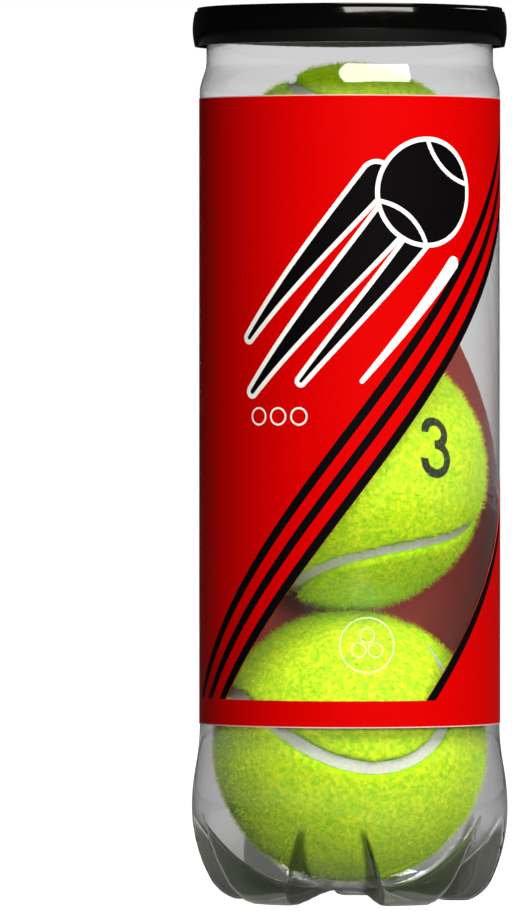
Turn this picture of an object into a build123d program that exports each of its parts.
from build123d import *
from math import asin, atan2, cos, degrees, pi, radians, sin, sqrt, tan
import os

# A sealed can of tennis balls: a clear blow-moulded body on five feet, a printed label
# with a helical window, a seamed metal end that tears out by a ring pull, a push-on
# overcap and a stack of balls. Millimetres, +Z up, the origin at the centre of the plane
# the feet stand on, and the front towards -Y.

# ---- driving dimensions ---------------------------------------------------------------

# balls
ball_diameter = 66.4
ball_count = 3
ball_gap = 0.3             # between stacked balls, and under the lowest one
felt_thickness = 3.2
core_wall = 3.5
seam_width = 3.0
seam_depth = 1.3           # how far the seam cement lies below the felt's face
seam_lobe = 0.25           # share of the third harmonic in the seam's closed curve
ball_turns = [(157, -58, -18), (-57, -60, -56), (63, -154, 147)]  # about X, Y, Z; lowest first

# clear body
pet_wall = 0.45
side_clearance = 3.0       # ball to straight wall
neck_clearance = 1.35      # ball to neck
shoulder_height = 7.5
shoulder_lift = 0.7        # shoulder's upper end above the top of the stack
ring_flare = 2.0           # how far the moulding ring above the feet stands out
ring_height = 22.7
flare_height = 20.7

# five-footed base
foot_count = 5
first_foot = -60.6         # direction of one foot, from +X towards +Y
hub_height = 3.0
hub_thickness = 1.2
hub_radius = 8.0
heel_drop = 17.3           # from the moulding ring down to the heel of a foot
heel_setback = 3.75
pad_outer_setback = 9.65
pad_width = 6.0
strap_drop = 1.2           # from the moulding ring down to the straps between the feet
strap_hub_width = 7.6
strap_rim_width = 12.5
foot_draft = 20.0          # slope of a foot's sides

# metal end and its double seam
end_sheet = 0.3
mouth_clearance = 0.55     # ball to the edge left when the panel is torn out
neck_play = 0.1            # end's inner wall to the neck
seam_play = 0.05
headspace = 5.2            # top ball to the end's lowest edge
chuck_depth = 6.9
seam_length = 3.2
end_hook_length = 1.8
gasket_thickness = 0.25
gasket_setback = 0.3
seam_corner = 0.45

# tear-out panel and ring pull
score_gap = 0.05
panel_rim_width = 1.7
panel_slope = 0.8
panel_rise = 2.0
finger_dish_radius = 8.5
finger_dish_depth = 0.8
tab_sheet = 0.35
tab_rim = 1.4
tab_lift = 0.3             # tab to panel
tab_nose_width = 11.0
tab_nose_inset = 1.0       # nose back from the panel's flat field
ring_outer_radius = 11.5
ring_inner_radius = 8.0
ring_offset = 1.0          # finger ring's centre from the can's axis
tongue_width = 6.4
tongue_tail = 4.5
tongue_room = 0.8
rivet_setback = 7.5        # rivet behind the tab's nose
rivet_radius = 2.0
rivet_head_radius = 3.0
rivet_head_height = 0.5

# overcap
lid_wall = 1.0
lid_room = 0.65            # skirt to seam
lid_bead_play = 0.05       # catch bead to seam
lid_seat_gap = 0.3
lid_rim_thickness = 1.4
lid_bulge = 0.55
lid_depth = 9.4
lid_rim_step = 0.55
lid_rim_height = 0.95
recess_depth = 1.2
recess_play = 0.55         # recessed top inside the end's wall
bead_height = 2.3

# label
label_thickness = 0.12
glue_gap = 0.03
label_margin = 1.5         # below the shoulder
label_foot = 0.0           # above the flare
window_rise = 139.6
window_width = 54.7
window_base = 6.5          # lower end of the window above the label's lower edge
window_lead = 0.757        # sideways run for each millimetre up
window_start = -35.3       # left corner of the window's lower end, from the front

# ---- places worked out from them -------------------------------------------------------

ball_radius = ball_diameter / 2
core_radius = ball_radius - felt_thickness
ball_pitch = ball_diameter + ball_gap
hub_floor = hub_height + hub_thickness
ball_centres = [hub_floor + ball_gap + ball_radius + n * ball_pitch for n in range(ball_count)]
stack_top = ball_centres[-1] + ball_radius

body_radius = ball_radius + side_clearance + pet_wall
neck_radius = ball_radius + neck_clearance + pet_wall
ring_radius = body_radius + ring_flare
flare_top = ring_height + flare_height
shoulder_top = stack_top + shoulder_lift
shoulder_bottom = shoulder_top - shoulder_height

end_floor = stack_top + headspace
seam_top = end_floor + chuck_depth
seam_bottom = seam_top - seam_length
mouth_radius = ball_radius + mouth_clearance
chuck_radius = neck_radius - pet_wall - neck_play - end_sheet
end_hook_radius = neck_radius + seam_play
body_hook_radius = end_hook_radius + end_sheet + seam_play
skirt_radius = body_hook_radius + pet_wall + seam_play
seam_radius = skirt_radius + end_sheet
neck_top = seam_top - end_sheet - gasket_thickness

panel_edge = mouth_radius - score_gap
panel_field_radius = panel_edge - panel_rim_width - panel_slope
panel_top = end_floor + panel_rise + end_sheet
tab_floor = panel_top + tab_lift
tab_axis_x = panel_field_radius - tab_nose_inset - tab_rim / 2
rivet_x = tab_axis_x - rivet_setback

lid_inner_radius = seam_radius + lid_room
lid_radius = lid_inner_radius + lid_wall
lid_seat = seam_top + lid_seat_gap
lid_top = lid_seat + lid_rim_thickness
lid_bottom = lid_top - lid_depth
recess_radius = chuck_radius - recess_play

label_inner = body_radius + glue_gap
label_outer = label_inner + label_thickness
label_bottom = flare_top + label_foot
label_top = shoulder_bottom - label_margin


# ---- helpers ---------------------------------------------------------------------------

def s_bend(start, end):
    """Two equal arcs, upright at both ends, that carry a wall from one radius to another."""
    middle = ((start[0] + end[0]) / 2, (start[1] + end[1]) / 2)
    first = TangentArc(start, middle, tangent=(0, end[1] - start[1]))
    TangentArc(first @ 1, end, tangent=first % 1)


def finish(piece, name):
    """Label a finished piece and write it."""
    piece.part.label = name
    export_step(piece.part, f"parts/{name}.step")


# ---- clear body ------------------------------------------------------------------------

def foot_side():
    """A foot's side line at the height of the straps' outer end: its angle, and a point on it."""
    half = radians(180 / foot_count)

    def crease(radius, width):
        along = radius * cos(half) + width / 2 * sin(half)
        aside = radius * sin(half) - width / 2 * cos(half)
        return Vector(along, aside)

    low = crease(hub_radius + 2, strap_hub_width)
    high = crease(body_radius, strap_rim_width)
    run = high - low
    climb = ring_height - strap_drop - hub_height
    angle = atan2(run.Y, run.X) - asin(climb * tan(radians(foot_draft)) / run.length)
    return angle, high


def foot_wedge(direction, inset):
    """One drafted wedge, which the can's outline trims to a foot."""
    angle, high = foot_side()
    reach = 1.5 * ring_radius
    sections = []
    for height in (-2.0, ring_height + 7):
        drop = (ring_height - strap_drop - height) * tan(radians(foot_draft))
        shift = (drop + inset / cos(radians(foot_draft))) / cos(angle)
        half_width = high.Y + (reach - high.X) * tan(angle) - shift
        tip = reach - half_width / tan(angle)
        heading = (cos(radians(direction)), sin(radians(direction)), 0)
        level = Plane(origin=(0, 0, height), x_dir=heading, z_dir=(0, 0, 1))
        with BuildSketch(level) as section:
            with BuildLine():
                Polyline((tip, 0), (reach, -half_width), (reach, half_width), close=True)
            make_face()
        sections.append(section.sketch)
    return sections


def can_form(inset, floor, top):
    """The can's outer form or, with the wall as inset, the hollow inside it."""
    ring = ring_radius - inset
    body = body_radius - inset
    neck = neck_radius - inset
    strap_end = (ring - 0.25, ring_height - strap_drop + inset / 2)
    heel = (ring_radius - heel_setback - 0.85 * inset, ring_height - heel_drop + inset / 2)
    pad_outer = ring_radius - pad_outer_setback
    with BuildPart() as form:
        with BuildSketch(Plane.XZ):
            with BuildLine():
                hub = Line((0, floor), (hub_radius, floor))
                strap = TangentArc(hub @ 1, strap_end, tangent=(1, 0))
                run_out = PolarLine(strap @ 1, 8, direction=strap % 1)
                outside = (2 * ring_radius, (run_out @ 1).Y)
                Polyline(run_out @ 1, outside, (2 * ring_radius, top + 5), (0, top + 5), hub @ 0)
            make_face()
        revolve(axis=Axis.Z)
        for n in range(foot_count):
            loft(foot_wedge(first_foot + n * 360 / foot_count, inset))
        with BuildSketch(Plane.XZ):
            with BuildLine():
                side = TangentArc((ring, ring_height), heel, tangent=(0, -1))
                sole = TangentArc(side @ 1, (pad_outer, inset), tangent=side % 1)
                pad = Line(sole @ 1, (pad_outer - pad_width, inset))
                Polyline(pad @ 1, (hub_radius, floor), (0, floor), (0, top), (neck, top), (neck, shoulder_top))
                s_bend((neck, shoulder_top), (body, shoulder_bottom))
                Line((body, shoulder_bottom), (body, flare_top))
                s_bend((body, flare_top), (ring, ring_height))
            make_face()
        revolve(axis=Axis.Z, mode=Mode.INTERSECT)
    return form.part


os.makedirs("parts", exist_ok=True)

outer_form = can_form(0, hub_height, neck_top)
inner_form = can_form(pet_wall, hub_floor, neck_top + 1)

with BuildPart() as can_body:
    add(outer_form)
    add(inner_form, mode=Mode.SUBTRACT)
    with BuildSketch(Plane.XZ):
        hook_bottom = seam_bottom + 2 * end_sheet
        with BuildLine():
            Polyline(
                (neck_radius - pet_wall / 2, neck_top),
                (neck_radius - pet_wall / 2, neck_top - pet_wall),
                (body_hook_radius, neck_top - pet_wall),
                (body_hook_radius, hook_bottom),
                (body_hook_radius + pet_wall, hook_bottom),
                (body_hook_radius + pet_wall, neck_top),
                close=True,
            )
        make_face()
    revolve(axis=Axis.Z)
finish(can_body, "can_body")

# ---- label -----------------------------------------------------------------------------

window_bottom = label_bottom + window_base
window_sweep = degrees(window_lead * window_rise / label_outer)
window_angle = degrees(window_width / label_outer)
window_turn = degrees(window_start / label_outer) - 90

with BuildSketch(Plane.XY.offset(window_bottom)) as window_section:
    with BuildLine():
        near = CenterArc((0, 0), label_inner - 1, window_turn, window_angle)
        far = CenterArc((0, 0), label_outer + 1, window_turn, window_angle)
        Line(near @ 0, far @ 0)
        Line(near @ 1, far @ 1)
    make_face()

# the window's slanting sides are true helices
window_cutter = Solid.extrude_linear_with_rotation(
    section=window_section.sketch.face(),
    center=(0, 0, window_bottom),
    normal=(0, 0, window_rise),
    angle=window_sweep,
)

with BuildPart() as printed_label:
    with BuildSketch(Plane.XY.offset(label_bottom)):
        Circle(label_outer)
        Circle(label_inner, mode=Mode.SUBTRACT)
    extrude(amount=label_top - label_bottom)
    add(window_cutter, mode=Mode.SUBTRACT)
finish(printed_label, "printed_label")

# ---- metal end -------------------------------------------------------------------------

sheet_half = end_sheet / 2
chuck_middle = chuck_radius + sheet_half
skirt_middle = skirt_radius + sheet_half
hook_middle = end_hook_radius + sheet_half
hook_corner = (skirt_middle - hook_middle) / 2 - 0.01

with BuildPart() as end_ring:
    with BuildSketch(Plane.XZ):
        with BuildLine():
            FilletPolyline(
                (mouth_radius, end_floor + sheet_half),
                (chuck_middle, end_floor + sheet_half),
                (chuck_middle, seam_top - sheet_half),
                (skirt_middle, seam_top - sheet_half),
                (skirt_middle, seam_bottom + sheet_half),
                (hook_middle, seam_bottom + sheet_half),
                (hook_middle, seam_bottom + end_hook_length),
                radius=[sheet_half + 0.02, seam_corner, seam_corner, hook_corner, hook_corner],
            )
        trace(line_width=end_sheet)
    revolve(axis=Axis.Z)
finish(end_ring, "end_ring")

with BuildPart() as seam_gasket:
    gasket_inner = neck_radius - pet_wall + gasket_setback
    gasket_outer = body_hook_radius + pet_wall - gasket_setback
    with BuildSketch(Plane.XY.offset(neck_top)):
        Circle(gasket_outer)
        Circle(gasket_inner, mode=Mode.SUBTRACT)
    extrude(amount=gasket_thickness)
finish(seam_gasket, "seam_gasket")

with BuildPart() as tear_panel:
    field = panel_top - sheet_half
    with BuildSketch(Plane.XZ):
        with BuildLine():
            FilletPolyline(
                (panel_edge, end_floor + sheet_half),
                (panel_field_radius + panel_slope, end_floor + sheet_half),
                (panel_field_radius, field),
                (finger_dish_radius, field),
                (finger_dish_radius - finger_dish_depth, field - finger_dish_depth),
                (0, field - finger_dish_depth),
                radius=0.5,
            )
        trace(line_width=end_sheet)
    revolve(axis=Axis.Z)
    # the rivet is drawn up out of the panel itself
    with BuildSketch(Plane.XY.offset(panel_top - sheet_half)):
        with Locations((rivet_x, 0)):
            Circle(rivet_radius)
    extrude(amount=sheet_half + tab_sheet)
    with BuildSketch(Plane.XY.offset(panel_top + tab_sheet)):
        with Locations((rivet_x, 0)):
            Circle(rivet_head_radius)
    extrude(amount=rivet_head_height)
    fillet(tear_panel.edges().group_by(Axis.Z)[-1], radius=0.6 * rivet_head_height)
finish(tear_panel, "tear_panel")

# ---- ring pull -------------------------------------------------------------------------

with BuildPart() as rivet_tongue:
    tongue_front = tab_axis_x - tab_rim / 2 - tab_lift
    tongue_back = rivet_x - tongue_tail
    with BuildSketch(Plane.XY.offset(panel_top)) as tongue_outline:
        with Locations(((tongue_front + tongue_back) / 2, 0)):
            Rectangle(tongue_front - tongue_back, tongue_width)
        fillet(tongue_outline.vertices().group_by(Axis.X)[0], radius=0.4 * tongue_width)
        with Locations((rivet_x, 0)):
            Circle(rivet_radius + seam_play, mode=Mode.SUBTRACT)
    extrude(amount=tab_sheet)
finish(rivet_tongue, "rivet_tongue")


def tab_outline(margin):
    """The ring pull seen from above, drawn in from its edge by a margin."""
    nose_front = tab_axis_x + tab_rim / 2
    with BuildSketch(Plane.XY.offset(tab_floor)) as outline:
        with BuildSketch(Plane.XY, mode=Mode.PRIVATE) as shapes:
            with Locations((ring_offset, 0)):
                Circle(ring_outer_radius)
            with Locations((nose_front - tab_rim, 0)):
                Rectangle(2 * tab_rim, tab_nose_width)
        make_hull(shapes.edges())
        if margin:
            offset(amount=-margin, mode=Mode.REPLACE)
    return outline.sketch


def tongue_opening():
    """The slot that leaves the rivet's tongue free."""
    slot_front = tab_axis_x - tab_rim / 2
    slot_back = rivet_x - tongue_tail - tongue_room
    with BuildSketch(Plane.XY.offset(tab_floor)) as slot:
        with Locations(((slot_front + slot_back) / 2, 0)):
            Rectangle(slot_front - slot_back, tongue_width + 2 * tongue_room)
        fillet(slot.vertices().group_by(Axis.X)[0], radius=0.4 * tongue_width)
    return slot.sketch


with BuildPart() as pull_tab:
    # curled outer edge
    with BuildSketch(Plane.XY.offset(tab_floor)):
        add(tab_outline(0))
        add(tab_outline(tab_rim), mode=Mode.SUBTRACT)
    extrude(amount=tab_rim)
    # curled edge of the finger hole
    with BuildSketch(Plane.XY.offset(tab_floor)):
        with Locations((ring_offset, 0)):
            Circle(ring_inner_radius + tab_rim)
            Circle(ring_inner_radius, mode=Mode.SUBTRACT)
    extrude(amount=tab_rim)
    curl_edges = pull_tab.edges().group_by(Axis.Z)[0] + pull_tab.edges().group_by(Axis.Z)[-1]
    fillet(curl_edges, radius=0.45 * tab_rim)
    # web between the curls
    with BuildSketch(Plane.XY.offset(tab_floor + (tab_rim - tab_sheet) / 2)) as web:
        add(tab_outline(tab_rim / 2))
        with Locations((ring_offset, 0)):
            Circle(ring_inner_radius + tab_rim / 2, mode=Mode.SUBTRACT)
        add(tongue_opening(), mode=Mode.SUBTRACT)
    extrude(amount=tab_sheet)
finish(pull_tab, "pull_tab")

# ---- overcap ---------------------------------------------------------------------------

with BuildPart() as lid:
    rim_radius = lid_radius - lid_rim_step
    recess_floor = lid_top - recess_depth
    bead_middle = seam_bottom - bead_height / 2 - lid_seat_gap
    bead_radius = seam_radius + lid_bead_play
    shelf = lid_top - lid_rim_height
    with BuildSketch(Plane.XZ) as lid_section:
        with BuildLine():
            ThreePointArc(
                (lid_radius, lid_bottom),
                (lid_radius + lid_bulge, lid_bottom + lid_depth / 2),
                (lid_radius, shelf - 0.15),
            )
            Polyline(
                (lid_radius, shelf - 0.15),
                (lid_radius - 0.15, shelf),
                (rim_radius, shelf),
                (rim_radius, lid_top),
                (recess_radius, lid_top),
                (recess_radius - 0.6, recess_floor),
                (0, recess_floor),
                (0, recess_floor - lid_wall),
                (recess_radius, recess_floor - lid_wall),
                (recess_radius, lid_seat),
                (lid_inner_radius, lid_seat),
                (lid_inner_radius, bead_middle + bead_height / 2),
            )
            ThreePointArc(
                (lid_inner_radius, bead_middle + bead_height / 2),
                (bead_radius, bead_middle),
                (lid_inner_radius, bead_middle - bead_height / 2),
            )
            Polyline(
                (lid_inner_radius, bead_middle - bead_height / 2),
                (lid_inner_radius, lid_bottom),
                (lid_radius, lid_bottom),
            )
        make_face()
    revolve(axis=Axis.Z)
    top_edges = lid.edges().group_by(Axis.Z)[-1]
    fillet(top_edges, radius=0.3 * lid_wall)
finish(lid, "lid")

# ---- balls -----------------------------------------------------------------------------

def seam_curve(radius, points=48):
    """The closed curve of a tennis ball's seam, on a sphere of the given radius."""
    main = 1 - seam_lobe
    places = []
    for n in range(points):
        t = 2 * pi * n / points
        x = main * cos(t) + seam_lobe * cos(3 * t)
        y = main * sin(t) - seam_lobe * sin(3 * t)
        z = 2 * sqrt(main * seam_lobe) * sin(2 * t)
        places.append(Vector(x, y, z).normalized() * radius)
    return places


def seam_band(inner, outer):
    """A band that follows the seam, square to the sphere, between two distances from its centre."""
    with BuildLine() as guide:
        Spline(seam_curve(core_radius / 2), periodic=True)
    with BuildPart() as band:
        with BuildLine() as path:
            Spline(seam_curve((inner + outer) / 2), periodic=True)
        edge = path.edges()[0]
        with BuildSketch(Plane(origin=edge @ 0, x_dir=edge @ 0, z_dir=edge % 0)):
            Rectangle(outer - inner, seam_width)
        sweep(path=edge, binormal=guide.edges()[0])
    return band.part


with BuildPart() as felt_cover:
    Sphere(ball_radius)
    Sphere(core_radius, mode=Mode.SUBTRACT)
    add(seam_band(core_radius - seam_depth, ball_radius + seam_depth), mode=Mode.SUBTRACT)

with BuildPart() as core_half:
    Sphere(core_radius)
    Sphere(core_radius - core_wall, mode=Mode.SUBTRACT)
    split(bisect_by=Plane.XY)

lower_felt, upper_felt = felt_cover.part.solids().sort_by(Axis.Z)
ball_pieces = {
    "core_half_a": core_half.part.solid(),
    "core_half_b": core_half.part.solid().rotate(Axis.X, 180),
    "felt_panel_a": upper_felt,
    "felt_panel_b": lower_felt,
    "seam_cement": seam_band(core_radius + glue_gap, ball_radius - seam_depth).solid(),
}

for number, (centre, turns) in enumerate(zip(ball_centres, ball_turns), start=1):
    for piece_name, shape in ball_pieces.items():
        turned = shape.rotate(Axis.X, turns[0]).rotate(Axis.Y, turns[1]).rotate(Axis.Z, turns[2])
        with BuildPart() as ball_piece:
            add(turned.translate((0, 0, centre)))
        finish(ball_piece, f"ball_{number}_{piece_name}")
